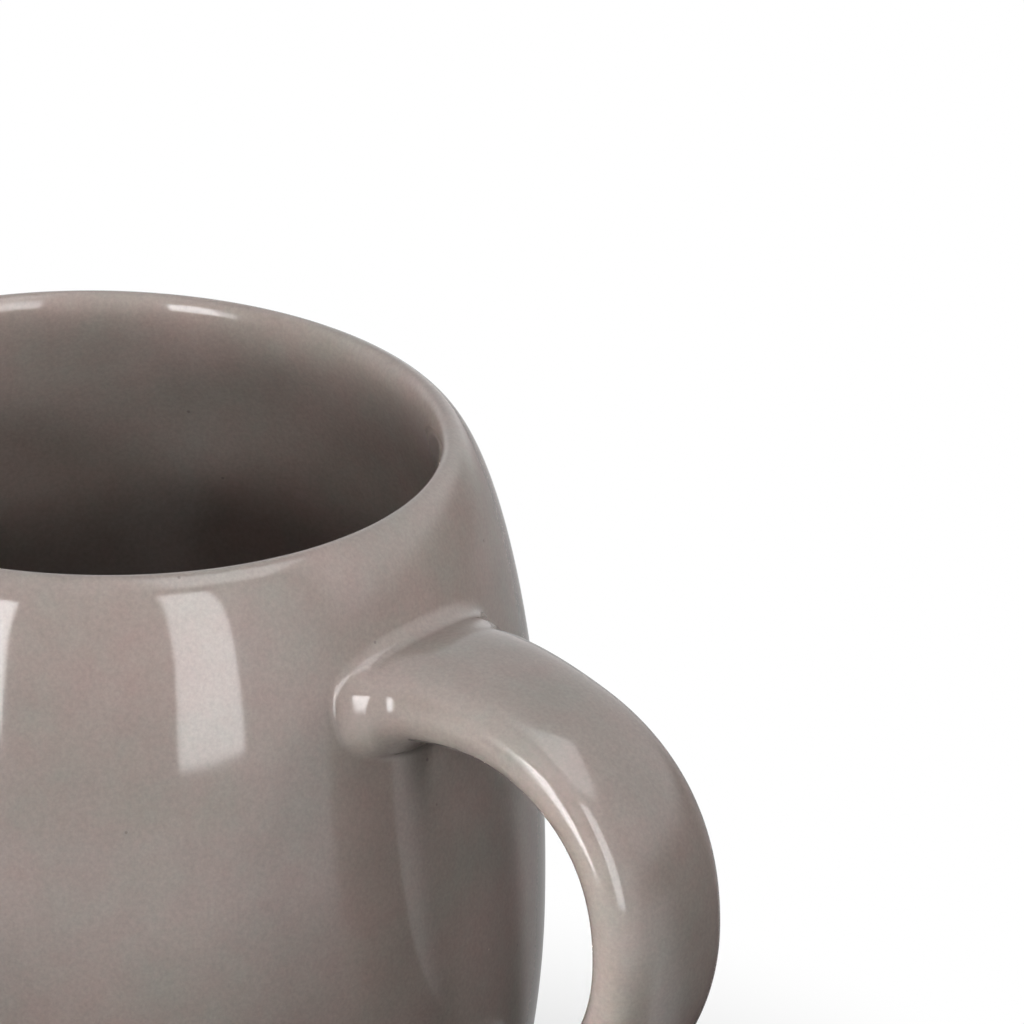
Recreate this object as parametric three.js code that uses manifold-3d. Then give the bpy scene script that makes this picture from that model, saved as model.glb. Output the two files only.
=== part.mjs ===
// A round-bellied stoneware mug with a loop handle: a one-piece cup, a cast handle,
// and the two slip joints that lute the handle to the cup's wall.
// Millimetres, +Z up. Z = 0 is the plane that the foot ring rests on, and the origin is
// the centre of the footprint of cup and handle together. The handle points to +X.
import * as THREE from 'three';
import { mergeVertices } from 'three/addons/utils/BufferGeometryUtils.js';
import ManifoldModule from 'manifold-3d';

// Cup, outside
const cupHeight = 100;
const lipCrestRadius = 36.4;
const bellyRadius = 47.5;
const bellyBelowLip = 53.9;
const footOuterRadius = 31;
const footRingWidth = 4;
const footEdgeRounding = 0.6;
const footTurnAngle = 30;
const recessDepth = 1.6;
const recessSlope = 0.8;

// Cup, inside
const wallThickness = 4;
const floorThickness = 5;
const lipInnerWidth = 1.2;
const lipInnerDepth = 1.9;
const wellFloorRadius = 20;

// Shape of the cup's curves: how far each curve's end keeps its direction, as a share of
// the height that the curve covers, and in millimetres across the lip and along the foot
const lipCrestRun = 4.5;
const upperBellyFullness = 0.545;
const lowerBellyFullness = 0.371;
const footTurnRun = 13.8;
const innerLipFullness = 0.081;
const innerBellyFullness = 0.637;
const innerLowerFullness = 0.56;
const wellFloorRun = 18;

// Handle: heights are along the cup's axis, reaches are away from the belly
const upperRootBelowLip = 15.4;
const rootSpacing = 45;
const gripReach = 25.8;
const gripBelowUpperRoot = 21.2;
const upperExitAngle = 14.2;
const lowerExitAngle = 9;
const upperExitRun = 9.1;
const lowerExitRun = 11.5;
const upperGripRun = 21.5;
const lowerGripRun = 14.3;

// Handle sections: thickness lies in the handle's plane, breadth lies across it
const upperRootThickness = 9.9;
const upperRootBreadth = 20.5;
const gripThickness = 7.9;
const gripBreadth = 17.9;
const lowerRootThickness = 9.6;
const lowerRootBreadth = 19.5;
const rootTaperShare = 0.45;
const sectionSquareness = 2.3;

// Slip joints
const slipBed = 1.2;
const clearance = 0.3;
const filletLength = 2.8;
const filletAcross = 2;
const filletInPlane = 1;
const filletEdge = 0.9;

// Fineness of the facets
const cupSides = 56;
const lowerWallSteps = 10;
const upperWallSteps = 14;
const innerWallSteps = 10;
const roundingSteps = 3;
const handleSteps = 18;
const sectionSides = 24;
const filletSteps = 6;

// Points closer than this are one point
const samePoint = 1e-4;

const radians = THREE.MathUtils.degToRad;
const bellyHeight = cupHeight - bellyBelowLip;
const wellFloorHeight = recessDepth + floorThickness;

const glaze = { color: 0x9f928b, roughness: 0.12, metalness: 0 };

function direction(angle) {
  return new THREE.Vector2(Math.cos(radians(angle)), Math.sin(radians(angle)));
}

function along(point, way, distance) {
  return point.clone().addScaledVector(way, distance);
}

// The cup's outer wall in radius and height: from the foot to the belly, then to the lip
const up = new THREE.Vector2(0, 1);
const outward = new THREE.Vector2(1, 0);
const footPoint = new THREE.Vector2(footOuterRadius, footEdgeRounding);
const bellyPoint = new THREE.Vector2(bellyRadius, bellyHeight);
const crestPoint = new THREE.Vector2(lipCrestRadius, cupHeight);

const lowerWall = new THREE.CubicBezierCurve(
  footPoint,
  along(footPoint, direction(footTurnAngle), footTurnRun),
  along(bellyPoint, up, -lowerBellyFullness * (bellyHeight - footEdgeRounding)),
  bellyPoint,
);
const upperWall = new THREE.CubicBezierCurve(
  bellyPoint,
  along(bellyPoint, up, upperBellyFullness * bellyBelowLip),
  along(crestPoint, outward, lipCrestRun),
  crestPoint,
);

// The cup's inner wall: from the lip's inner rounding down to the well's flat floor
const innerLipPoint = new THREE.Vector2(lipCrestRadius - lipInnerWidth, cupHeight - lipInnerDepth);
const innerBellyPoint = new THREE.Vector2(bellyRadius - wallThickness, bellyHeight);
const wellEdgePoint = new THREE.Vector2(wellFloorRadius, wellFloorHeight);

const innerUpperWall = new THREE.CubicBezierCurve(
  innerLipPoint,
  along(innerLipPoint, up, -innerLipFullness * bellyBelowLip),
  along(innerBellyPoint, up, innerBellyFullness * bellyBelowLip),
  innerBellyPoint,
);
const innerLowerWall = new THREE.CubicBezierCurve(
  innerBellyPoint,
  along(innerBellyPoint, up, -innerLowerFullness * (bellyHeight - wellFloorHeight)),
  along(wellEdgePoint, outward, wellFloorRun),
  wellEdgePoint,
);

// A small rounding: a quarter of an ellipse from one direction round to another, anticlockwise
function rounding(centre, width, depth, startAngle) {
  const start = radians(startAngle);
  const arc = new THREE.EllipseCurve(centre.x, centre.y, width, depth, start, start + Math.PI / 2);
  return arc.getPoints(roundingSteps);
}

function turned(profile) {
  const distinct = profile.filter((point, i) => i === 0 || point.distanceTo(profile[i - 1]) > samePoint);
  const geometry = new THREE.LatheGeometry(distinct, cupSides);
  geometry.rotateX(Math.PI / 2);
  return geometry;
}

function cupProfile() {
  const footInnerRadius = footOuterRadius - footRingWidth;
  const innerFootCorner = new THREE.Vector2(footInnerRadius + footEdgeRounding, footEdgeRounding);
  const outerFootCorner = new THREE.Vector2(footOuterRadius - footEdgeRounding, footEdgeRounding);
  const innerLipCentre = new THREE.Vector2(lipCrestRadius, cupHeight - lipInnerDepth);
  return [
    new THREE.Vector2(0, recessDepth),
    new THREE.Vector2(footInnerRadius - recessSlope, recessDepth),
    ...rounding(innerFootCorner, footEdgeRounding, footEdgeRounding, 180),
    ...rounding(outerFootCorner, footEdgeRounding, footEdgeRounding, 270),
    ...lowerWall.getPoints(lowerWallSteps),
    ...upperWall.getPoints(upperWallSteps),
    ...rounding(innerLipCentre, lipInnerWidth, lipInnerDepth, 90),
    ...innerUpperWall.getPoints(innerWallSteps),
    ...innerLowerWall.getPoints(innerWallSteps),
    new THREE.Vector2(0, wellFloorHeight),
  ];
}

// A curve of the outer wall, moved outwards by a margin
function grown(curve, steps, margin) {
  return Array.from({ length: steps + 1 }, (_, i) => {
    const tangent = curve.getTangent(i / steps);
    const normal = new THREE.Vector2(tangent.y, -tangent.x);
    return along(curve.getPoint(i / steps), normal, margin);
  });
}

// The space inside the cup's outer wall, grown outwards by a margin
function wallPlug(margin) {
  const sides = [
    ...grown(lowerWall, lowerWallSteps, margin),
    ...grown(upperWall, upperWallSteps, margin),
  ];
  const top = sides[sides.length - 1].y;
  return turned([new THREE.Vector2(0, sides[0].y), ...sides, new THREE.Vector2(0, top)]);
}

// The point of the outer wall at one height, found by halving the stretch that holds it
function wallPointAt(height) {
  const curve = height < bellyHeight ? lowerWall : upperWall;
  let low = 0;
  let high = 1;
  while (high - low > samePoint * samePoint) {
    const middle = (low + high) / 2;
    if (curve.getPoint(middle).y < height) low = middle;
    else high = middle;
  }
  return curve.getPoint(low);
}

// The handle's centreline, in radius and height, from the upper root to the lower one
const upperRoot = wallPointAt(cupHeight - upperRootBelowLip);
const lowerRoot = wallPointAt(cupHeight - upperRootBelowLip - rootSpacing);
const gripPoint = new THREE.Vector2(bellyRadius + gripReach, upperRoot.y - gripBelowUpperRoot);
const upperExit = direction(upperExitAngle);
const lowerExit = direction(-lowerExitAngle);

const upperCentreline = new THREE.CubicBezierCurve(
  upperRoot,
  along(upperRoot, upperExit, upperExitRun),
  along(gripPoint, up, upperGripRun),
  gripPoint,
);
const lowerCentreline = new THREE.CubicBezierCurve(
  gripPoint,
  along(gripPoint, up, -lowerGripRun),
  along(lowerRoot, lowerExit, lowerExitRun),
  lowerRoot,
);

// One ring of the handle's rounded section. Its height axis is the side of the centreline
// that faces away from the finger gap, and its breadth runs along Y.
function sectionRing(centre, tangent, thickness, breadth) {
  const back = new THREE.Vector2(-tangent.y, tangent.x);
  return Array.from({ length: sectionSides }, (_, i) => {
    const angle = (2 * Math.PI * i) / sectionSides;
    const power = 2 / sectionSquareness;
    const rise = Math.sign(Math.cos(angle)) * Math.abs(Math.cos(angle)) ** power * (thickness / 2);
    const side = Math.sign(Math.sin(angle)) * Math.abs(Math.sin(angle)) ** power * (breadth / 2);
    const point = along(centre, back, rise);
    return new THREE.Vector3(point.x, side, point.y);
  });
}

function stationSize(share, root, grip) {
  const blend = THREE.MathUtils.smoothstep(share, 0, rootTaperShare);
  return THREE.MathUtils.lerp(root, grip, blend);
}

function handleStations(margin) {
  const stations = [];
  for (let i = 0; i <= handleSteps; i += 1) {
    const share = i / handleSteps;
    stations.push({
      centre: upperCentreline.getPoint(share),
      tangent: upperCentreline.getTangent(share),
      thickness: stationSize(share, upperRootThickness, gripThickness) + 2 * margin,
      breadth: stationSize(share, upperRootBreadth, gripBreadth) + 2 * margin,
    });
  }
  for (let i = 1; i <= handleSteps; i += 1) {
    const share = i / handleSteps;
    stations.push({
      centre: lowerCentreline.getPoint(share),
      tangent: lowerCentreline.getTangent(share),
      thickness: stationSize(1 - share, lowerRootThickness, gripThickness) + 2 * margin,
      breadth: stationSize(1 - share, lowerRootBreadth, gripBreadth) + 2 * margin,
    });
  }
  return stations;
}

// A closed body through a row of rings, with a flat end at each end
function lofted(rings) {
  const sides = rings[0].length;
  const points = rings.flat();
  const index = [];
  for (let ring = 0; ring + 1 < rings.length; ring += 1) {
    for (let i = 0; i < sides; i += 1) {
      const a = ring * sides + i;
      const b = ring * sides + ((i + 1) % sides);
      index.push(a, a + sides, b, b, a + sides, b + sides);
    }
  }
  const last = (rings.length - 1) * sides;
  for (let i = 1; i + 1 < sides; i += 1) {
    index.push(0, i, i + 1);
    index.push(last, last + i + 1, last + i);
  }
  const geometry = new THREE.BufferGeometry().setFromPoints(points);
  geometry.setIndex(index);
  return geometry;
}

// The whole handle, run on past each root into the cup's wall
function longHandle(margin) {
  const stations = handleStations(margin);
  const first = stations[0];
  const final = stations[stations.length - 1];
  const runOn = wallThickness;
  const rings = stations.map((s) => sectionRing(s.centre, s.tangent, s.thickness, s.breadth));
  const before = along(first.centre, first.tangent, -runOn);
  const after = along(final.centre, final.tangent, runOn);
  rings.unshift(sectionRing(before, first.tangent, first.thickness, first.breadth));
  rings.push(sectionRing(after, final.tangent, final.thickness, final.breadth));
  return lofted(rings);
}

// The flared collar of slip at one root, before the wall and the handle are cut from it
function flare(root, exit, thickness, breadth) {
  const start = -wallThickness / 2;
  const ring = (distance, spread) => sectionRing(
    along(root, exit, distance),
    exit,
    thickness + 2 * (filletEdge + filletInPlane * spread),
    breadth + 2 * (filletEdge + filletAcross * spread),
  );
  const rings = [ring(-wallThickness, 1)];
  for (let i = 0; i <= filletSteps; i += 1) {
    const angle = radians((90 * i) / filletSteps);
    rings.push(ring(start + (filletLength - start) * (1 - Math.cos(angle)), 1 - Math.sin(angle)));
  }
  return lofted(rings);
}

const wasm = await ManifoldModule();
wasm.setup();

function toSolid(geometry) {
  const bare = geometry.clone();
  bare.deleteAttribute('normal');
  bare.deleteAttribute('uv');
  const merged = mergeVertices(bare, samePoint);
  return new wasm.Manifold(new wasm.Mesh({
    numProp: 3,
    vertProperties: new Float32Array(merged.attributes.position.array),
    triVerts: new Uint32Array(merged.index.array),
  }));
}

function toGeometry(solid) {
  const mesh = solid.getMesh();
  const geometry = new THREE.BufferGeometry();
  geometry.setAttribute('position', new THREE.BufferAttribute(mesh.vertProperties, 3));
  geometry.setIndex(new THREE.BufferAttribute(mesh.triVerts, 1));
  return geometry;
}

function makeCup() {
  return turned(cupProfile());
}

// The handle ends on the slip beds, a bed's thickness away from the wall all over
function makeHandle() {
  return toGeometry(toSolid(longHandle(0)).subtract(toSolid(wallPlug(slipBed))));
}

// A slip joint holds the bed between the handle's end and the wall, and the fillet round it
function makeSlipJoint(root, exit, thickness, breadth) {
  const wall = toSolid(wallPlug(clearance));
  const handleEnd = toSolid(longHandle(clearance)).subtract(toSolid(wallPlug(slipBed - clearance)));
  const collar = toSolid(flare(root, exit, thickness, breadth));
  return toGeometry(collar.subtract(wall).subtract(handleEnd));
}

function piece(name, geometry) {
  geometry.computeVertexNormals();
  const mesh = new THREE.Mesh(geometry, new THREE.MeshStandardMaterial(glaze));
  mesh.name = name;
  return mesh;
}

const mug = new THREE.Group();
mug.add(piece('cup', makeCup()));
mug.add(piece('handle', makeHandle()));
mug.add(piece('upper_slip_joint', makeSlipJoint(upperRoot, upperExit, upperRootThickness, upperRootBreadth)));
mug.add(piece('lower_slip_joint', makeSlipJoint(lowerRoot, lowerExit, lowerRootThickness, lowerRootBreadth)));

// The cup's axis stands behind the origin, so that the whole footprint is centred on it
const handleBounds = new THREE.Box3().setFromObject(mug.getObjectByName('handle'));
mug.position.x = (bellyRadius - handleBounds.max.x) / 2;

export default mug;
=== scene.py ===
"""A round-bellied mug of glazed stoneware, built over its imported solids, with the studio it stands in."""

import math

import bmesh
import bpy
from bpy.props import FloatProperty, FloatVectorProperty, PointerProperty
from mathutils import Matrix, Vector
from mathutils.geometry import interpolate_bezier


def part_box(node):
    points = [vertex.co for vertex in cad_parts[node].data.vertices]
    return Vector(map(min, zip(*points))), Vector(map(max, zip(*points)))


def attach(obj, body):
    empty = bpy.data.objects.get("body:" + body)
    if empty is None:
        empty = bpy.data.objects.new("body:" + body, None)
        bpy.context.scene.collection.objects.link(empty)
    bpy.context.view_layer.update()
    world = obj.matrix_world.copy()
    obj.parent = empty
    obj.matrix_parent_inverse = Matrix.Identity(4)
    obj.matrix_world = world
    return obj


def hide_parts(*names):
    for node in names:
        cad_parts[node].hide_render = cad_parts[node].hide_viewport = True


bl_info = {
    "name": "Glazed stoneware mug",
    "version": (1, 0, 0),
    "blender": (4, 5, 0),
    "location": "View3D > Sidebar > Mug",
    "description": "Makes a round-bellied stoneware mug with a luted loop handle, and its studio",
    "category": "Add Mesh",
}

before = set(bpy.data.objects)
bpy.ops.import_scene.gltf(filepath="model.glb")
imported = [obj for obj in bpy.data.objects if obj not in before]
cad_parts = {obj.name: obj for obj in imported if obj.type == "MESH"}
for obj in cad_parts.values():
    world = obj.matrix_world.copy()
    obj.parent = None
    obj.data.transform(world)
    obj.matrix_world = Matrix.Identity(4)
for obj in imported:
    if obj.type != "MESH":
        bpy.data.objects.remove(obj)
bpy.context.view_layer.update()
CUP_LOW, CUP_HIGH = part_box("cup")
AXIS_X = (CUP_LOW.x + CUP_HIGH.x) / 2

MM = 0.001
# Points closer than this are one point
SAME_POINT = 0.002 * MM

# Fineness of the meshes
CUP_SIDES = 288
LOWER_WALL_STEPS = 44
UPPER_WALL_STEPS = 64
INNER_UPPER_STEPS = 44
INNER_LOWER_STEPS = 32
ROUNDING_STEPS = 10
HANDLE_STEPS = 72
SECTION_SIDES = 96
FILLET_STEPS = 14
TABLE_SIDES = 128
CARD_STEPS = 48

UP = Vector((0, 0, 1))
OUTWARD = Vector((1, 0, 0))
ACROSS = Vector((0, 1, 0))


def length(name, description, millimetres):
    """A size property, kept in metres."""
    return FloatProperty(
        name=name, description=description, default=millimetres * MM, min=0, precision=4,
        subtype="DISTANCE", unit="LENGTH",
    )


def share(name, description, default):
    return FloatProperty(name=name, description=description, default=default, min=0, max=1, subtype="FACTOR")


def angle(name, description, degrees):
    return FloatProperty(name=name, description=description, default=math.radians(degrees), subtype="ANGLE")


def linear(code):
    """An sRGB hex colour as linear red, green and blue."""
    values = [int(code[i:i + 2], 16) / 255 for i in (1, 3, 5)]
    return [v / 12.92 if v <= 0.04045 else ((v + 0.055) / 1.055) ** 2.4 for v in values]


def colour(name, description, code):
    return FloatVectorProperty(
        name=name, description=description, default=linear(code), min=0, max=1, size=3, subtype="COLOR",
    )


class MugCupSizes(bpy.types.PropertyGroup):
    height: length("Height", "From the table to the crest of the lip", CUP_HIGH.z / MM)
    belly_radius: length("Belly radius", "Half the cup's greatest width", (CUP_HIGH.x - CUP_LOW.x) / 2 / MM)
    belly_drop: length("Belly below lip", "From the lip's crest down to the widest place", 53.9)
    lip_radius: length("Lip radius", "From the axis to the crest of the lip", 36.4)
    lip_run: length("Lip run", "How far the crest stays level on its way out", 4.5)
    lip_width: length("Lip inner width", "From the crest in to where the lip turns down", 1.2)
    lip_depth: length("Lip inner depth", "From the crest down to the end of its inner rounding", 1.9)
    wall: length("Wall", "Thickness at the belly", 4)
    foot_radius: length("Foot radius", "Outer radius of the foot ring", 31)
    foot_width: length("Foot ring width", "Across the ring that the mug stands on", 4)
    foot_rounding: length("Foot rounding", "Radius at the edges of the foot ring", 0.6)
    recess: length("Recess", "Depth of the hollow inside the foot ring", 1.6)
    floor: length("Floor", "Thickness of the clay under the well", 5)
    well_radius: length("Well radius", "Flat part of the floor inside", 20)
    glaze_line: length("Glaze line", "Height on the foot up to which the clay is wiped bare", 0.9)
    glaze_coat: length("Glaze coat", "How far the glaze stands proud of the bare clay", 0.15)


class MugHandleSizes(bpy.types.PropertyGroup):
    root_drop: length("Upper root below lip", "From the lip's crest to the middle of the upper root", 15.4)
    root_spacing: length("Root spacing", "Between the middles of the two roots", 45)
    reach: length("Reach", "From the belly out to the middle of the grip", 25.8)
    grip_drop: length("Grip below upper root", "Height from the upper root down to the grip's outermost place", 21.2)
    upper_angle: angle("Upper exit", "Rise of the handle where it leaves the upper root", 14.2)
    lower_angle: angle("Lower exit", "Fall of the handle where it leaves the lower root", 9)
    upper_thickness: length("Upper root thickness", "In the handle's plane", 9.9)
    upper_breadth: length("Upper root breadth", "Across the handle's plane", 20.5)
    grip_thickness: length("Grip thickness", "In the handle's plane", 7.9)
    grip_breadth: length("Grip breadth", "Across the handle's plane", 17.9)
    lower_thickness: length("Lower root thickness", "In the handle's plane", 9.6)
    lower_breadth: length("Lower root breadth", "Across the handle's plane", 19.5)
    flare_thickness: length("Flare thickness", "How much thicker the upper root is, pressed to the wall", 1.2)
    flare_breadth: length("Flare breadth", "How much broader it is there", 2.8)


class MugJointSizes(bpy.types.PropertyGroup):
    side_run: length("Side run", "How far the slip fillet spreads over the wall beside the handle", 2.8)
    back_run: length("Back run", "How far it spreads over the wall at the handle's back", 1.8)
    gap_run: length("Gap run", "How far it spreads over the wall on the side of the finger gap", 1.2)
    climb: share("Climb", "How far it climbs the handle, as a share of its run over the wall", 1)


class MugGlazeLook(bpy.types.PropertyGroup):
    warm: colour("Warm glaze", "The glaze where it turns towards pink", "#93827c")
    cool: colour("Cool glaze", "The glaze where it turns towards grey-green", "#858079")
    clay: colour("Bare clay", "The stoneware body on the foot ring", "#b5a797")
    gloss: share("Roughness", "Roughness of the fired glaze", 0.08)


class MugStageLook(bpy.types.PropertyGroup):
    floor: colour("Floor", "Colour of the table where light bounces off it", "#4a4a49")
    camera_turn: angle("Camera turn", "Direction of the camera about the cup's axis, from the handle", -51)
    camera_distance: length("Camera distance", "From the middle of the lip's plane", 1200)


# Shape of the cup's curves: how far each curve's end keeps its direction, as a share of
# the height that the curve covers, or in millimetres along the foot and the well
UPPER_BELLY_FULLNESS = 0.545
LOWER_BELLY_FULLNESS = 0.371
INNER_LIP_FULLNESS = 0.081
INNER_BELLY_FULLNESS = 0.637
INNER_LOWER_FULLNESS = 0.56
FOOT_TURN_RUN = 13.8 * MM
FOOT_TURN_ANGLE = math.radians(30)
WELL_FLOOR_RUN = 18 * MM
RECESS_SLOPE = 0.8 * MM

# Shape of the handle's centreline and of its section
UPPER_EXIT_RUN = 9.1 * MM
LOWER_EXIT_RUN = 11.5 * MM
UPPER_GRIP_RUN = 21.5 * MM
LOWER_GRIP_RUN = 14.3 * MM
ROOT_TAPER_SHARE = 0.45
SECTION_SQUARENESS = 2.3
# The upper root's flare: at the wall its section is squarer and lies lower
FLARE_RUN = 3.5 * MM
FLARE_SQUARENESS = 0.5
FLARE_DROP = 0.5 * MM
# The handle's ends run on into the wall, and the wall they meet is worked out this many times finer
RUN_INTO_WALL = 2 * MM
MET_WALL_FINENESS = 4


def point(radius, height):
    return Vector((radius, 0, height))


def direction(turn):
    return Vector((math.cos(turn), 0, math.sin(turn)))


def curve(start, start_run, end_run, end, steps):
    """A cubic curve's points. Each run is the way that the curve keeps at that end, as an arrow away from it."""
    return interpolate_bezier(start, start + start_run, end + end_run, end, steps + 1)


def rounding(centre, width, depth, first, last):
    """An elliptical arc's points in the profile's plane, from one angle to another in degrees."""
    turns = [math.radians(first + (last - first) * i / ROUNDING_STEPS) for i in range(ROUNDING_STEPS + 1)]
    return [centre + point(width * math.cos(turn), depth * math.sin(turn)) for turn in turns]


def outer_wall(sizes, fineness=1):
    """The outer wall in radius and height, from the foot to the lip's crest."""
    foot = point(sizes.foot_radius, sizes.foot_rounding)
    belly = point(sizes.belly_radius, sizes.height - sizes.belly_drop)
    crest = point(sizes.lip_radius, sizes.height)
    lower = curve(
        foot, direction(FOOT_TURN_ANGLE) * FOOT_TURN_RUN,
        -UP * LOWER_BELLY_FULLNESS * (belly.z - foot.z), belly, LOWER_WALL_STEPS * fineness,
    )
    upper = curve(
        belly, UP * UPPER_BELLY_FULLNESS * sizes.belly_drop, OUTWARD * sizes.lip_run, crest,
        UPPER_WALL_STEPS * fineness,
    )
    return lower + upper[1:]


def inner_wall(sizes):
    """The inner wall in radius and height, from the lip's inner rounding to the well's flat floor."""
    lip = point(sizes.lip_radius - sizes.lip_width, sizes.height - sizes.lip_depth)
    belly = point(sizes.belly_radius - sizes.wall, sizes.height - sizes.belly_drop)
    well = point(sizes.well_radius, sizes.recess + sizes.floor)
    upper = curve(
        lip, -UP * INNER_LIP_FULLNESS * sizes.belly_drop,
        UP * INNER_BELLY_FULLNESS * sizes.belly_drop, belly, INNER_UPPER_STEPS,
    )
    lower = curve(
        belly, -UP * INNER_LOWER_FULLNESS * (belly.z - well.z), OUTWARD * WELL_FLOOR_RUN, well,
        INNER_LOWER_STEPS,
    )
    return upper + lower[1:]


def cup_profile(sizes):
    """The cup's whole section, from the middle of the recess round the outside to the middle of the well."""
    coat = sizes.glaze_coat
    edge = sizes.foot_rounding
    foot_inside = sizes.foot_radius - sizes.foot_width
    recess_corner = point(foot_inside - RECESS_SLOPE - edge, sizes.recess - edge)
    inner_corner = point(foot_inside + coat + edge, edge)
    outer_corner = point(sizes.foot_radius - coat - edge, edge)
    lip_centre = point(sizes.lip_radius, sizes.height - sizes.lip_depth)
    return [
        point(0, sizes.recess),
        *rounding(recess_corner, edge, edge, 90, 20),
        point(foot_inside - coat, sizes.glaze_line + coat),
        point(foot_inside, sizes.glaze_line),
        point(foot_inside + coat, sizes.glaze_line - coat / 2),
        *rounding(inner_corner, edge, edge, 180, 270),
        *rounding(outer_corner, edge, edge, 270, 350),
        *outer_wall(sizes),
        *rounding(lip_centre, sizes.lip_width, sizes.lip_depth, 90, 180)[1:],
        *inner_wall(sizes)[1:],
        point(0, sizes.recess + sizes.floor),
    ]


def finish_piece(bm, name, node, materials):
    """Welds a piece's mesh and makes sure that it is closed, puts it in the scene and hides the solid that it stands
    for.
    """
    bmesh.ops.remove_doubles(bm, verts=bm.verts, dist=SAME_POINT)
    bmesh.ops.recalc_face_normals(bm, faces=bm.faces)
    gaps = sum(not edge.is_manifold for edge in bm.edges)
    if gaps:
        raise RuntimeError(f"{name} has {gaps} open edges")
    mesh = bpy.data.meshes.new(name)
    bm.to_mesh(mesh)
    bm.free()
    for face in mesh.polygons:
        face.use_smooth = True
    for material in materials:
        mesh.materials.append(material)
    piece = bpy.data.objects.new(name, mesh)
    bpy.context.scene.collection.objects.link(piece)
    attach(piece, "root")
    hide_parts(node)


def extruded(bm, ring, points):
    """Extrudes a ring of vertices and moves the new ring to these points, in the same order."""
    edges = [bm.edges.get(pair) for pair in zip(ring, ring[1:] + ring[:1])]
    made = set(bmesh.ops.extrude_edge_only(bm, edges=edges)["geom"])
    fresh = [next(e.other_vert(v) for e in v.link_edges if e.other_vert(v) in made) for v in ring]
    for vert, place in zip(fresh, points):
        vert.co = place
    return fresh


def lofted(rings, sharp=()):
    """A closed skin through a row of rings, flat at both ends. The sharp ones keep their crease."""
    bm = bmesh.new()
    ring = [bm.verts.new(place) for place in rings[0]]
    bm.faces.new(ring)
    for i, points in enumerate(rings[1:], 1):
        ring = extruded(bm, ring, points)
        if i in sharp:
            for pair in zip(ring, ring[1:] + ring[:1]):
                bm.edges.get(pair).smooth = False
    bm.faces.new(reversed(ring))
    return bm


def wall_place(wall, height):
    """The outer wall's radius at a height, and its slope: radius gained for height gained."""
    above = next(i for i, place in enumerate(wall) if place.z > height)
    low, high = wall[above - 1], wall[above]
    slope = (high.x - low.x) / (high.z - low.z)
    return low.x + slope * (height - low.z), slope


def handle_line(cup, sizes):
    """The handle's centreline with the direction of each point, from the upper root to the lower."""
    wall = outer_wall(cup, MET_WALL_FINENESS)
    upper_height = cup.height - sizes.root_drop
    lower_height = upper_height - sizes.root_spacing
    upper = point(wall_place(wall, upper_height)[0], upper_height)
    lower = point(wall_place(wall, lower_height)[0], lower_height)
    grip = point(cup.belly_radius + sizes.reach, upper_height - sizes.grip_drop)
    upper_exit = direction(sizes.upper_angle)
    lower_exit = direction(-sizes.lower_angle)
    first = curve(upper, upper_exit * UPPER_EXIT_RUN, UP * UPPER_GRIP_RUN, grip, HANDLE_STEPS)
    second = curve(grip, -UP * LOWER_GRIP_RUN, lower_exit * LOWER_EXIT_RUN, lower, HANDLE_STEPS)
    places = first + second[1:]
    ways = [(after - before).normalized() for before, after in zip(places, places[2:])]
    return places, [upper_exit, *ways, -lower_exit]


def section_ring(centre, way, thickness, breadth, squareness):
    """One ring of the handle's rounded section, which starts at the back and goes round by +Y."""
    back = Vector((-way.z, 0, way.x))
    power = 2 / squareness
    ring = []
    for i in range(SECTION_SIDES):
        turn = math.tau * i / SECTION_SIDES
        rise = math.copysign(abs(math.cos(turn)) ** power, math.cos(turn)) * thickness / 2
        side = math.copysign(abs(math.sin(turn)) ** power, math.sin(turn)) * breadth / 2
        ring.append(centre + back * rise + ACROSS * side)
    return ring


def smooth_blend(value, root, grip):
    """From the root's size to the grip's, as the value goes from 0 to 1."""
    t = min(value, 1)
    return root + (grip - root) * t * t * (3 - 2 * t)


def handle_rings(cup, sizes):
    """The handle's rings from root to root, run on into the wall at both ends."""
    places, ways = handle_line(cup, sizes)
    places = [places[0] - ways[0] * RUN_INTO_WALL, *places, places[-1] + ways[-1] * RUN_INTO_WALL]
    ways = [ways[0], *ways, ways[-1]]
    rings = []
    for i, (centre, way) in enumerate(zip(places, ways)):
        # Zero at the upper root, one at the grip and two at the lower root
        gone = min(max(i - 1, 0), 2 * HANDLE_STEPS) / HANDLE_STEPS
        squareness = SECTION_SQUARENESS
        if gone <= 1:
            taper = gone / ROOT_TAPER_SHARE
            thickness = smooth_blend(taper, sizes.upper_thickness, sizes.grip_thickness)
            breadth = smooth_blend(taper, sizes.upper_breadth, sizes.grip_breadth)
        else:
            taper = (2 - gone) / ROOT_TAPER_SHARE
            thickness = smooth_blend(taper, sizes.lower_thickness, sizes.grip_thickness)
            breadth = smooth_blend(taper, sizes.lower_breadth, sizes.grip_breadth)
        if gone < 1:
            away = (centre - places[1]).length if i else 0
            flare = smooth_blend(away / FLARE_RUN, 1, 0)
            thickness += sizes.flare_thickness * flare
            breadth += sizes.flare_breadth * flare
            squareness += FLARE_SQUARENESS * flare
            centre = centre - Vector((-way.z, 0, way.x)) * FLARE_DROP * flare
        rings.append(section_ring(centre, way, thickness, breadth, squareness))
    return rings


# A fillet's edges lie this deep under the handle and the wall, and its closed ends deeper
FEATHER_DEPTH = 0.004 * MM
BURIED_DEPTH = 0.8 * MM
FILLET_ROUNDNESS = 0.6
# The handle's ring, counted from its end in the wall, where a fillet takes the direction of the skin
SKIN_RING = 3


def on_wall(wall, place):
    """The wall's point at a place's height and direction, and the wall's outward normal there."""
    radius, slope = wall_place(wall, place.z)
    around = Vector((place.x, place.y, 0)).normalized()
    return around * radius + UP * place.z, (around - UP * slope).normalized()


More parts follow.
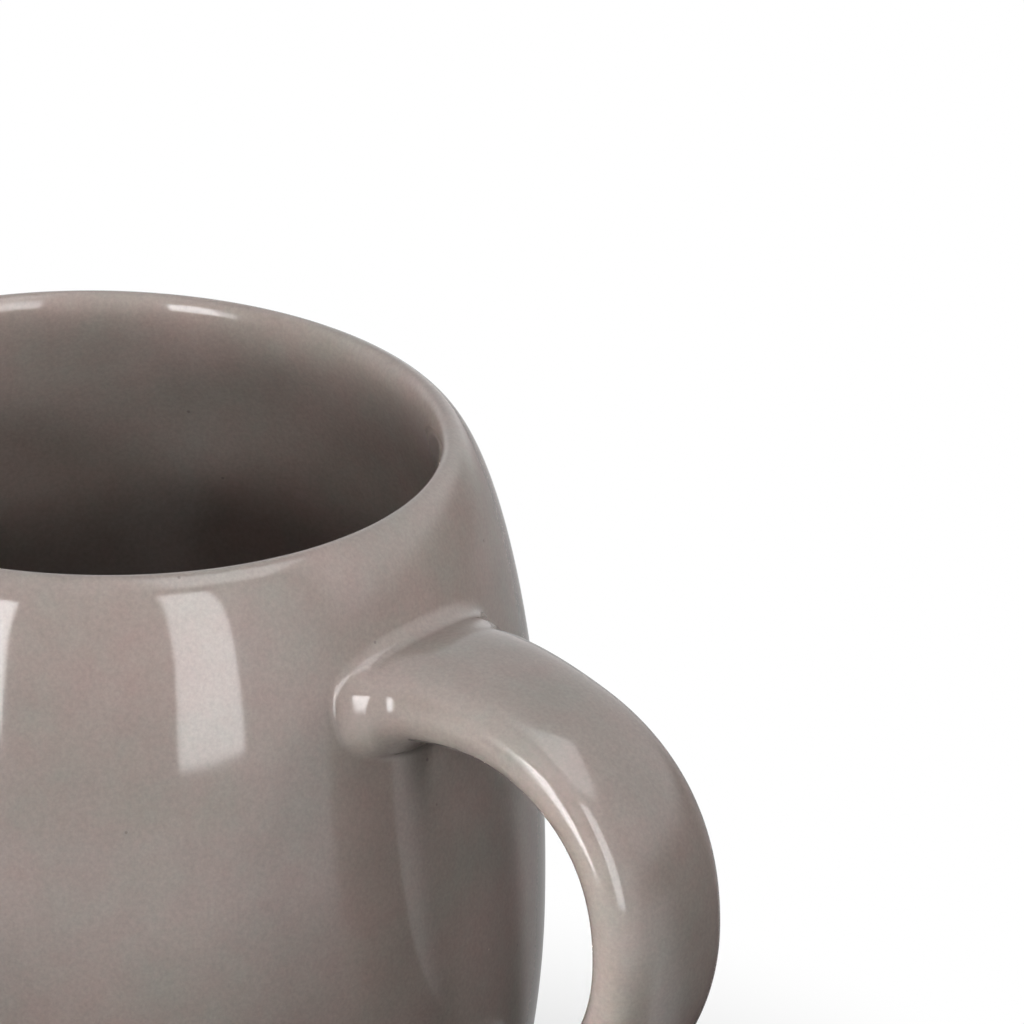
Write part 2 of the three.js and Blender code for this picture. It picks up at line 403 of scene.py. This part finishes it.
def fillet_side(wall, line, outside, spread, climb_share):
    """The fillet's points on one side: from under the handle's skin over to under the wall's."""
    gaps = [math.hypot(place.x, place.y) - wall_place(wall, place.z)[0] for place in line]
    k = next(i for i in range(1, len(gaps)) if gaps[i] > 0)
    corner = line[k - 1].lerp(line[k], gaps[k - 1] / (gaps[k - 1] - gaps[k]))
    way = (line[k] - line[k - 1]).normalized()
    i, left = k, spread * climb_share
    here = corner
    while left > (line[i] - here).length:
        left -= (line[i] - here).length
        here = line[i]
        i += 1
    climb = (line[i] - here).normalized()
    top = here + climb * left
    foot, normal = on_wall(wall, corner + outside * spread)
    inward = corner - foot
    inward -= normal * inward.dot(normal)
    skin = top - outside * FEATHER_DEPTH
    bed = foot - normal * FEATHER_DEPTH
    bend = curve(
        skin, -climb * FILLET_ROUNDNESS * (top - corner).length,
        inward * FILLET_ROUNDNESS, bed, FILLET_STEPS,
    )
    return [skin - outside * BURIED_DEPTH, *bend, foot - normal * BURIED_DEPTH]


def fillet_rings(cup, joint, rings):
    """The rings of slip at the root where these handle rings start."""
    wall = outer_wall(cup, MET_WALL_FINENESS)
    sides = []
    for i in range(SECTION_SIDES):
        line = [ring[i] for ring in rings]
        skin = rings[SKIN_RING]
        along = skin[(i + 1) % SECTION_SIDES] - skin[i - 1]
        way = (line[SKIN_RING + 1] - line[SKIN_RING - 1]).normalized()
        outside = along.cross(way).normalized()
        if outside.dot(skin[i] - sum(skin, Vector()) / SECTION_SIDES) < 0:
            outside.negate()
        plane_run = joint.back_run if math.cos(math.tau * i / SECTION_SIDES) > 0 else joint.gap_run
        spread = math.hypot(outside.y * joint.side_run, outside.xz.length * plane_run)
        sides.append(fillet_side(wall, line, outside, spread, joint.climb))
    return [list(ring) for ring in zip(*sides)]


def add_node(tree, kind, settings=None, inputs=None):
    """Adds a node with its settings, and gives each input a value or another node's output."""
    node = tree.nodes.new(kind)
    for name, value in (settings or {}).items():
        setattr(node, name, value)
    for name, value in (inputs or {}).items():
        if isinstance(value, bpy.types.NodeSocket):
            tree.links.new(value, node.inputs[name])
        else:
            node.inputs[name].default_value = value
    return node


# Sockets of the Mix node when it mixes colours
MIX_A, MIX_B, MIX_RESULT = 6, 7, 2

# The glaze's patches, thicker and thinner, with finer ones in them
PATCH_SIZE = 12 * MM
# Fine grain of the clay under the glaze, then the cloudiness between grain and patches:
# size, roughness of the noise, half the span of it that counts, and how far it changes the tone
MOTTLING = ((0.45 * MM, 0.7, 0.25, 0.09), (3 * MM, 0.5, 0.2, 0.04))
# Specks of iron in the clay, then pale pinpoints where a bubble burst, painted there as glints: distance apart,
# radius and tone, and the share of the radius that has the whole tone
SPECKS_AND_GLINTS = ((6 * MM, 0.22 * MM, 0.7), (10 * MM, 0.16 * MM, 1.45))
SPECK_CORE = 0.6
# The glaze's faint waviness, from crest to crest and in height
WAVE_LENGTH = 7 * MM
WAVE_HEIGHT = 0.03 * MM
GLAZE_IOR = 1.6
# Grog in the bare clay, and how far it stands out
GROG_SIZE = 0.5 * MM
GROG_HEIGHT = 0.05 * MM
BARE_ROUGHNESS = 0.85


def new_material(name):
    material = bpy.data.materials.get(name)
    if material:
        return material, None
    material = bpy.data.materials.new(name)
    material.use_nodes = True
    material.node_tree.nodes.clear()
    return material, material.node_tree


def opaque(values):
    return (*values, 1)


def taupe_gloss_glaze(look):
    """Gloss feldspar glaze, sprayed on and fired: a glassy coat over a softly mottled taupe,
    which turns from pinkish to grey-green in patches and shows fine specks of the clay's iron, and pale pinpoints
    painted as glints."""
    material, tree = new_material("taupe_gloss_glaze")
    if tree is None:
        return material
    place = add_node(tree, "ShaderNodeTexCoord").outputs["Object"]
    patches = add_node(tree, "ShaderNodeTexNoise", {}, {
        "Vector": place, "Scale": 1 / PATCH_SIZE, "Detail": 4, "Roughness": 0.7,
    })
    patch_share = add_node(tree, "ShaderNodeMapRange", {}, {
        "Value": patches.outputs["Fac"], "From Min": 0.3, "From Max": 0.7,
    })
    body = add_node(tree, "ShaderNodeMix", {"data_type": "RGBA"}, {
        0: patch_share.outputs["Result"], MIX_A: opaque(look.warm), MIX_B: opaque(look.cool),
    })
    levels = []
    for size, roughness, half_span, depth in MOTTLING:
        blobs = add_node(tree, "ShaderNodeTexNoise", {}, {
            "Vector": place, "Scale": 1 / size, "Detail": 2, "Roughness": roughness,
        })
        levels.append(add_node(tree, "ShaderNodeMapRange", {}, {
            "Value": blobs.outputs["Fac"], "From Min": 0.5 - half_span, "From Max": 0.5 + half_span,
            "To Min": 1 - depth, "To Max": 1 + depth,
        }))
    # Iron specks darken the glaze, and the pale pinpoints brighten it as painted glints
    for apart, radius, tone in SPECKS_AND_GLINTS:
        spots = add_node(tree, "ShaderNodeTexVoronoi", {}, {"Vector": place, "Scale": 1 / apart})
        levels.append(add_node(tree, "ShaderNodeMapRange", {}, {
            "Value": spots.outputs["Distance"], "From Min": SPECK_CORE * radius / apart, "From Max": radius / apart,
            "To Min": tone, "To Max": 1,
        }))
    level = levels[0].outputs["Result"]
    for other in levels[1:]:
        level = add_node(tree, "ShaderNodeMath", {"operation": "MULTIPLY"}, {
            0: level, 1: other.outputs["Result"],
        }).outputs["Value"]
    toned = add_node(tree, "ShaderNodeVectorMath", {"operation": "SCALE"}, {
        "Vector": body.outputs[MIX_RESULT], "Scale": level,
    })
    waves = add_node(tree, "ShaderNodeTexNoise", {}, {"Vector": place, "Scale": 1 / WAVE_LENGTH, "Detail": 1})
    waviness = add_node(tree, "ShaderNodeBump", {}, {
        "Height": waves.outputs["Fac"], "Distance": WAVE_HEIGHT, "Strength": 1,
    })
    shader = add_node(tree, "ShaderNodeBsdfPrincipled", {}, {
        "Base Color": toned.outputs["Vector"], "Roughness": look.gloss, "IOR": GLAZE_IOR,
        "Normal": waviness.outputs["Normal"],
    })
    add_node(tree, "ShaderNodeOutputMaterial", {}, {"Surface": shader.outputs["BSDF"]})
    return material


def bare_stoneware(look):
    """Unglazed stoneware on the foot ring, wiped and fired: matt, pale and faintly gritty."""
    material, tree = new_material("bare_stoneware")
    if tree is None:
        return material
    place = add_node(tree, "ShaderNodeTexCoord").outputs["Object"]
    grog = add_node(tree, "ShaderNodeTexNoise", {}, {
        "Vector": place, "Scale": 1 / GROG_SIZE, "Detail": 4, "Roughness": 0.6,
    })
    tint = add_node(tree, "ShaderNodeMapRange", {}, {
        "Value": grog.outputs["Fac"], "From Min": 0.25, "From Max": 0.75, "To Min": 0.88, "To Max": 1.08,
    })
    toned = add_node(tree, "ShaderNodeVectorMath", {"operation": "SCALE"}, {
        "Vector": look.clay, "Scale": tint.outputs["Result"],
    })
    bump = add_node(tree, "ShaderNodeBump", {}, {
        "Height": grog.outputs["Fac"], "Distance": GROG_HEIGHT, "Strength": 0.6,
    })
    shader = add_node(tree, "ShaderNodeBsdfPrincipled", {}, {
        "Base Color": toned.outputs["Vector"], "Roughness": BARE_ROUGHNESS, "Normal": bump.outputs["Normal"],
    })
    add_node(tree, "ShaderNodeOutputMaterial", {}, {"Surface": shader.outputs["BSDF"]})
    return material


class MUG_OT_cup(bpy.types.Operator):
    """Spin the cup from its profile, with its lip, wall, floor and foot ring"""
    bl_idname = "mug.cup"
    bl_label = "Cup"

    def execute(self, context):
        sizes = context.scene.mug_cup
        look = context.scene.mug_glaze
        bm = bmesh.new()
        verts = [bm.verts.new(place) for place in cup_profile(sizes)]
        edges = [bm.edges.new(pair) for pair in zip(verts, verts[1:])]
        bmesh.ops.spin(
            bm, geom=verts + edges, cent=(0, 0, 0), axis=UP, dvec=(0, 0, 0), angle=math.tau,
            steps=CUP_SIDES, use_merge=True,
        )
        bmesh.ops.remove_doubles(bm, verts=bm.verts, dist=SAME_POINT)
        for face in bm.faces:
            face.material_index = int(face.calc_center_median().z < sizes.glaze_line)
        bmesh.ops.translate(bm, verts=bm.verts, vec=(AXIS_X, 0, 0))
        finish_piece(bm, "glazed_cup", "cup", [taupe_gloss_glaze(look), bare_stoneware(look)])
        return {"FINISHED"}


class MUG_OT_handle(bpy.types.Operator):
    """Extrude the handle's section along its loop"""
    bl_idname = "mug.handle"
    bl_label = "Handle"

    def execute(self, context):
        scene = context.scene
        bm = lofted(handle_rings(scene.mug_cup, scene.mug_handle))
        bmesh.ops.translate(bm, verts=bm.verts, vec=(AXIS_X, 0, 0))
        finish_piece(bm, "glazed_handle", "handle", [taupe_gloss_glaze(scene.mug_glaze)])
        return {"FINISHED"}


class MUG_OT_slip_joints(bpy.types.Operator):
    """Sweep the fillet of slip round each of the handle's roots"""
    bl_idname = "mug.slip_joints"
    bl_label = "Slip joints"

    def execute(self, context):
        scene = context.scene
        rings = handle_rings(scene.mug_cup, scene.mug_handle)
        glaze = taupe_gloss_glaze(scene.mug_glaze)
        for end, row in (("upper", rings), ("lower", rings[::-1])):
            made = fillet_rings(scene.mug_cup, scene.mug_joint, row)
            bm = lofted(made, sharp=(1, FILLET_STEPS + 1))
            bmesh.ops.translate(bm, verts=bm.verts, vec=(AXIS_X, 0, 0))
            finish_piece(bm, f"{end}_slip_fillet", f"{end}_slip_joint", [glaze])
        return {"FINISHED"}


# The camera, fitted to the outlines: its rise over the middle of the lip's plane, its yaw, pitch and roll,
# its lens and sensor in millimetres, and the nearest and farthest that it sees, in metres
CAMERA_RISE = math.radians(23.77)
CAMERA_AIM = (math.radians(36.761), math.radians(90 - 24.137), math.radians(1.568))
CAMERA_LENS = 408.1
SENSOR_WIDTH = 36
CAMERA_NEAR = 0.05
CAMERA_FAR = 50

# From here to the next function, directions are in degrees about the cup's axis from the camera's side, positive
# to its right, and lengths are in metres.

# Panels of light, each turned to the cup's axis: direction, distance, height of the middle, width, height,
# tilt from upright, turn about its own middle, and radiance. The softboxes make the highlights in the glaze
SOFTBOXES = (
    ("right_softbox", 29, 0.5, 0.33, 0.15, 0.54, 0, 0, 4.8),
    ("left_softbox", -32.5, 0.5, 0.225, 0.15, 0.45, 0, 0, 8),
    ("left_softbox_edge", -44.2, 0.5, 0.225, 0.056, 0.45, 0, 0, 3.3),
    ("overhead_softbox", 74, 0.5, 1.2, 0.61, 0.83, 90, -53, 2),
)
# The fills shape the mug and leave no highlight
FILLS = (
    ("left_fill", -66, 0.5, 0.075, 0.23, 0.15, 0, 0, 5),
    ("left_low_fill", -47, 0.5, 0.075, 0.105, 0.15, 0, 0, 2.8),
    ("top_fill", 0, 0, 0.55, 0.25, 0.25, 90, 0, 2.6),
)
# Lamps behind honeycomb grids, whose narrow beams fall on the upper part of the mug: direction, elevation, radiance
HONEYCOMBS = (
    ("left_honeycomb_high", -60, 3, 0.75),
    ("left_honeycomb", -35, 15, 0.37),
    ("front_honeycomb", 16, 18, 0.36),
    ("right_honeycomb", 40, 10, 0.4),
    ("right_back_honeycomb", 80, 8, 0.54),
    ("right_back_honeycomb_high", 70, 35, 0.1),
)
HONEYCOMB_BEAM = math.radians(14)
HONEYCOMB_AIM = (AXIS_X, 0.185)
# Their distance, width and height
HONEYCOMB_LAMP = (1, 0.3, 0.2)
# Small ones that pick out the handle, which also have their own aim and beam
HANDLE_HONEYCOMBS = (
    ("handle_honeycomb", -44, 4, 0.9, (54 * MM, 46 * MM), HONEYCOMB_BEAM),
    ("handle_low_honeycomb", -44, 4, 0.6, (63 * MM, 49 * MM), HONEYCOMB_BEAM / 2),
    ("handle_back_honeycomb", 75, 4, 0.2, (54 * MM, 46 * MM), HONEYCOMB_BEAM),
)
HANDLE_LAMP = (0.5, 0.05, 0.08)
# The world's soft light on the mug
AMBIENT = 0.28

# A round table top, whose near edge the glaze mirrors
TABLE_RADIUS = 0.55
# How strongly the table glows for the camera, and where it fades into the white backdrop
TABLE_GLOW = 0.7
FADE_START = 60 * MM
FADE_END = 115 * MM
# Where it does so as the glaze mirrors it, darker round the mug
MIRRORED_START = 90 * MM
MIRRORED_END = 330 * MM

# Cards that only the glaze mirrors: their profiles in radius and height, the directions that they run between, and
# how light they are in each direction. Most glow though they are no lamps, and their graded glow is painted light and
# shade, seen in the glaze as painted reflections.

# Glowing walls behind the lamps, whose glow, dark in some directions and white in others, is painted light and shade,
# from below the table's edge up to where the ceiling starts
WALLS = (point(1.6, -0.3), point(1.6, 2))
WALLS_RUN = (-88, 70)
WALLS_GLOW_STOPS = ((-65, 0.05), (-50, 0.5), (30, 0.5), (45, 1), (58, 0.9), (74, 0.05), (130, 0.05), (163, 1))
# On the mug's right they are lower and glow white between two heights, a painted band of light, and behind it the
# backdrop is open
LOW_WALLS = (point(1.6, -0.3), point(1.6, 0.65))
LOW_WALLS_RUN = (70, 165)
LOW_WALLS_WHITE_GLOW = (0.2, 0.62)
# A low glowing sweep behind the mug on its shaded side, from the table up, whose glow, dim in the middle, is painted
# shade that darkens the glaze's shaded side in reflection
SHEET_LIFT = 0.5 * MM
SWEEP = (point(0.06, SHEET_LIFT), point(0.24, SHEET_LIFT), point(0.29, 0.02), point(0.3, 0.06))
SWEEP_RUN = (64, 215)
SWEEP_GLOW_STOPS = ((68, 0.85), (77, 0.6), (88, 0.05), (114, 0.05), (127, 0.3), (150, 0.38), (185, 0.8))
# A dark strip across the table in front of the mug, seen only as a thin line low on the glaze: a painted reflection
# of shade at the table's edge
SEAM = (point(0.4, SHEET_LIFT), point(0.415, SHEET_LIFT))
SEAM_RUN = (-70, 45)
SEAM_SHADE_COLOUR = "#2b2b2b"


def seen_rays(tree):
    """One where the background is looked at, by the camera, in a reflection or through glass."""
    rays = add_node(tree, "ShaderNodeLightPath").outputs
    mirrored = add_node(tree, "ShaderNodeMath", {"operation": "MAXIMUM"}, {
        0: rays["Is Glossy Ray"], 1: rays["Is Transmission Ray"],
    })
    return add_node(tree, "ShaderNodeMath", {"operation": "MAXIMUM"}, {
        0: rays["Is Camera Ray"], 1: mirrored.outputs["Value"],
    }).outputs["Value"]


def white_table(look):
    """Matt table top, which takes the mug's shadow: white where it is looked at, grey where light bounces off it."""
    material, tree = new_material("white_table")
    if tree is None:
        return material
    seen = seen_rays(tree)
    direct = add_node(tree, "ShaderNodeLightPath").outputs["Is Camera Ray"]
    glow = add_node(tree, "ShaderNodeMath", {"operation": "MULTIPLY"}, {0: direct, 1: TABLE_GLOW})
    top = add_node(tree, "ShaderNodeBsdfPrincipled", {}, {
        "Base Color": opaque(look.floor), "Roughness": 1, "Specular IOR Level": 0,
        "Emission Color": (1, 1, 1, 1), "Emission Strength": glow.outputs["Value"],
    })
    place = add_node(tree, "ShaderNodeTexCoord").outputs["Object"]
    away = add_node(tree, "ShaderNodeVectorMath", {"operation": "LENGTH"}, {"Vector": place})
    starts, ends = (
        add_node(tree, "ShaderNodeMapRange", {}, {"Value": direct, "To Min": mirrored, "To Max": looked_at})
        for mirrored, looked_at in ((MIRRORED_START, FADE_START), (MIRRORED_END, FADE_END))
    )
    fade = add_node(tree, "ShaderNodeMapRange", {"interpolation_type": "SMOOTHSTEP"}, {
        "Value": away.outputs["Value"], "From Min": starts.outputs["Result"], "From Max": ends.outputs["Result"],
    })
    faded = add_node(tree, "ShaderNodeMath", {"operation": "MULTIPLY"}, {0: fade.outputs["Result"], 1: seen})
    white = add_node(tree, "ShaderNodeEmission", {}, {"Color": (1, 1, 1, 1), "Strength": 1})
    shader = add_node(tree, "ShaderNodeMixShader", {}, {
        0: faded.outputs["Value"], 1: top.outputs["BSDF"], 2: white.outputs["Emission"],
    })
    add_node(tree, "ShaderNodeOutputMaterial", {}, {"Surface": shader.outputs["Shader"]})
    return material


def mirrored_shade_strip():
    """Matt dark strip, which only the glaze mirrors, as a line of painted shade."""
    material, tree = new_material("mirrored_shade_strip")
    if tree is None:
        return material
    shader = add_node(tree, "ShaderNodeBsdfPrincipled", {}, {
        "Base Color": opaque(linear(SEAM_SHADE_COLOUR)), "Roughness": 1,
    })
    add_node(tree, "ShaderNodeOutputMaterial", {}, {"Surface": shader.outputs["BSDF"]})
    return material


def graded_card(name, look, stops, pale=None):
    """A card that glows on its own as painted light and shade, whose glow changes with the direction about the cup's
    axis, and which turns white between the two heights given, if any."""
    material, tree = new_material(name)
    if tree is None:
        return material
    place = add_node(tree, "ShaderNodeTexCoord").outputs["Object"]
    centred = add_node(tree, "ShaderNodeVectorMath", {"operation": "SUBTRACT"}, {0: place, 1: (AXIS_X, 0, 0)})
    turn = add_node(tree, "ShaderNodeTexGradient", {"gradient_type": "RADIAL"}, {"Vector": centred.outputs["Vector"]})
    ramp = add_node(tree, "ShaderNodeValToRGB", {}, {"Fac": turn.outputs["Fac"]})
    ramp.color_ramp.interpolation = "EASE"
    spots = ramp.color_ramp.elements
    while len(spots) < len(stops):
        spots.new(0.5)
    for i, (way, level) in enumerate(stops):
        spots[i].position = (look.camera_turn + math.radians(way)) / math.tau + 0.5
        spots[i].color = (level, level, level, 1)
    light = ramp.outputs["Color"]
    if pale:
        height = add_node(tree, "ShaderNodeSeparateXYZ", {}, {"Vector": place}).outputs["Z"]
        whiteness = add_node(tree, "ShaderNodeMapRange", {"interpolation_type": "SMOOTHSTEP"}, {
            "Value": height, "From Min": pale[0], "From Max": pale[1],
        })
        light = add_node(tree, "ShaderNodeMix", {"data_type": "RGBA"}, {
            0: whiteness.outputs["Result"], MIX_A: light, MIX_B: (1, 1, 1, 1),
        }).outputs[MIX_RESULT]
    glow = add_node(tree, "ShaderNodeEmission", {}, {"Color": light, "Strength": 1})
    add_node(tree, "ShaderNodeOutputMaterial", {}, {"Surface": glow.outputs["Emission"]})
    return material


def studio_world():
    """White where it is looked at, and a soft grey light otherwise."""
    world = bpy.data.worlds.new("studio")
    world.use_nodes = True
    tree = world.node_tree
    tree.nodes.clear()
    strength = add_node(tree, "ShaderNodeMapRange", {}, {
        "Value": seen_rays(tree), "To Min": AMBIENT, "To Max": 1,
    })
    background = add_node(tree, "ShaderNodeBackground", {}, {
        "Color": (1, 1, 1, 1), "Strength": strength.outputs["Result"],
    })
    add_node(tree, "ShaderNodeOutputWorld", {}, {"Surface": background.outputs["Background"]})
    return world


def stage_piece(bm, name, material):
    mesh = bpy.data.meshes.new(name)
    bm.to_mesh(mesh)
    bm.free()
    mesh.materials.append(material)
    made = bpy.data.objects.new(name, mesh)
    bpy.context.scene.collection.objects.link(made)
    return made


def spun_card(name, material, look, profile, run):
    """A card from a profile of radius and height, swept about the cup's axis between two directions.
    It stands out of the camera's sight, so that only the glaze mirrors it, as a painted reflection."""
    first, last = (look.camera_turn + math.radians(way) for way in run)
    bm = bmesh.new()
    verts = [bm.verts.new(Matrix.Rotation(first, 3, "Z") @ place) for place in profile]
    edges = [bm.edges.new(pair) for pair in zip(verts, verts[1:])]
    bmesh.ops.spin(
        bm, geom=verts + edges, cent=(0, 0, 0), axis=UP, dvec=(0, 0, 0), angle=last - first, steps=CARD_STEPS,
    )
    bmesh.ops.translate(bm, verts=bm.verts, vec=(AXIS_X, 0, 0))
    card = stage_piece(bm, name, material)
    card.visible_camera = False
    card.visible_diffuse = False
    card.visible_transmission = False
    card.visible_shadow = False


def light_panel(name, way, distance, height, width, tall, tilt, spin, radiance, about=AXIS_X):
    """An area lamp in the shape of a panel, which the camera doesn't see.
    It faces the cup's axis, or another upright line in the handle's plane."""
    data = bpy.data.lights.new(name, "AREA")
    data.shape = "RECTANGLE"
    data.size = width
    data.size_y = tall
    data.energy = radiance * math.pi * width * tall
    lamp = bpy.data.objects.new(name, data)
    lamp.visible_camera = False
    bpy.context.scene.collection.objects.link(lamp)
    spot = Vector((about + math.cos(way) * distance, math.sin(way) * distance, height))
    upright = Matrix.Rotation(math.pi / 2 - math.radians(tilt), 4, "X")
    lamp.matrix_world = Matrix.Translation(spot) @ (
        Matrix.Rotation(way + math.pi / 2, 4, "Z") @ upright @ Matrix.Rotation(math.radians(spin), 4, "Z")
    )
    return lamp


def honeycomb_lamp(name, way, elevation, radiance, aim, beam, size):
    """A lamp whose grid keeps its beam narrow. It aims at a place in the handle's plane and leaves no highlight."""
    rise = math.radians(elevation)
    distance, width, tall = size
    height = aim[1] + distance * math.sin(rise)
    lamp = light_panel(name, way, distance * math.cos(rise), height, width, tall, elevation, 0, radiance, aim[0])
    lamp.data.spread = beam
    lamp.visible_glossy = False


def photo_camera(look, lip_height):
    """The camera, where the photograph was taken from."""
    data = bpy.data.cameras.new("photo_camera")
    data.sensor_width = SENSOR_WIDTH
    data.lens = CAMERA_LENS
    data.clip_start = CAMERA_NEAR
    data.clip_end = CAMERA_FAR
    camera = bpy.data.objects.new("photo_camera", data)
    bpy.context.scene.collection.objects.link(camera)
    out = look.camera_distance * math.cos(CAMERA_RISE)
    spot = Vector((
        AXIS_X + math.cos(look.camera_turn) * out, math.sin(look.camera_turn) * out,
        lip_height + look.camera_distance * math.sin(CAMERA_RISE),
    ))
    yaw, pitch, roll = CAMERA_AIM
    camera.matrix_world = Matrix.Translation(spot) @ Matrix.Rotation(yaw, 4, "Z") @ (
        Matrix.Rotation(pitch, 4, "X") @ Matrix.Rotation(roll, 4, "Z")
    )
    return camera


class MUG_OT_stage(bpy.types.Operator):
    """Set up the table, the light panels, the cards, the world and the camera"""
    bl_idname = "mug.stage"
    bl_label = "Stage"

    def execute(self, context):
        scene = context.scene
        look = scene.mug_stage
        bm = bmesh.new()
        bmesh.ops.create_circle(bm, cap_ends=True, segments=TABLE_SIDES, radius=TABLE_RADIUS)
        stage_piece(bm, "table", white_table(look))
        # Cards that glow with painted light and shade, seen only as painted reflections in the glaze
        wall_painted_light = graded_card("wall_painted_light", look, WALLS_GLOW_STOPS)
        low_wall_painted_light = graded_card("low_wall_painted_light", look, WALLS_GLOW_STOPS, LOW_WALLS_WHITE_GLOW)
        sweep_painted_light = graded_card("sweep_painted_light", look, SWEEP_GLOW_STOPS)
        spun_card("studio_walls", wall_painted_light, look, WALLS, WALLS_RUN)
        spun_card("low_walls", low_wall_painted_light, look, LOW_WALLS, LOW_WALLS_RUN)
        spun_card("painted_shade_sweep", sweep_painted_light, look, SWEEP, SWEEP_RUN)
        # A dark strip that only the glaze sees, as a line of painted shade
        spun_card("painted_shade_line", mirrored_shade_strip(), look, SEAM, SEAM_RUN)
        scene.world = studio_world()
        scene.view_settings.view_transform = "Standard"
        for name, turn, *panel in SOFTBOXES:
            light_panel(name, look.camera_turn + math.radians(turn), *panel).visible_diffuse = False
        for name, turn, *panel in FILLS:
            light_panel(name, look.camera_turn + math.radians(turn), *panel).visible_glossy = False
        for name, turn, *beam in HONEYCOMBS:
            honeycomb_lamp(
                name, look.camera_turn + math.radians(turn), *beam, HONEYCOMB_AIM, HONEYCOMB_BEAM, HONEYCOMB_LAMP,
            )
        for name, turn, *beam in HANDLE_HONEYCOMBS:
            honeycomb_lamp(name, look.camera_turn + math.radians(turn), *beam, HANDLE_LAMP)
        scene.camera = photo_camera(look, scene.mug_cup.height)
        return {"FINISHED"}


class MUG_PT_maker(bpy.types.Panel):
    """The mug's sizes and colours, and the buttons that make it"""
    bl_idname = "MUG_PT_maker"
    bl_label = "Stoneware mug"
    bl_space_type = "VIEW_3D"
    bl_region_type = "UI"
    bl_category = "Mug"

    def draw(self, context):
        groups = (
            (context.scene.mug_cup, MUG_OT_cup),
            (context.scene.mug_handle, MUG_OT_handle),
            (context.scene.mug_joint, MUG_OT_slip_joints),
            (context.scene.mug_glaze, None),
            (context.scene.mug_stage, MUG_OT_stage),
        )
        for group, operator in groups:
            box = self.layout.box()
            for name in group.bl_rna.properties.keys():
                if name not in {"rna_type", "name"}:
                    box.prop(group, name)
            if operator:
                box.operator(operator.bl_idname)


GROUPS = {
    "mug_cup": MugCupSizes,
    "mug_handle": MugHandleSizes,
    "mug_joint": MugJointSizes,
    "mug_glaze": MugGlazeLook,
    "mug_stage": MugStageLook,
}
CLASSES = (*GROUPS.values(), MUG_OT_cup, MUG_OT_handle, MUG_OT_slip_joints, MUG_OT_stage, MUG_PT_maker)


def register():
    for made in CLASSES:
        bpy.utils.register_class(made)
    for name, group in GROUPS.items():
        setattr(bpy.types.Scene, name, PointerProperty(type=group))


def unregister():
    for name in GROUPS:
        delattr(bpy.types.Scene, name)
    for made in reversed(CLASSES):
        bpy.utils.unregister_class(made)


def main():
    register()
    bpy.ops.mug.cup()
    bpy.ops.mug.handle()
    bpy.ops.mug.slip_joints()
    bpy.ops.mug.stage()


if __name__ == "__main__":
    main()
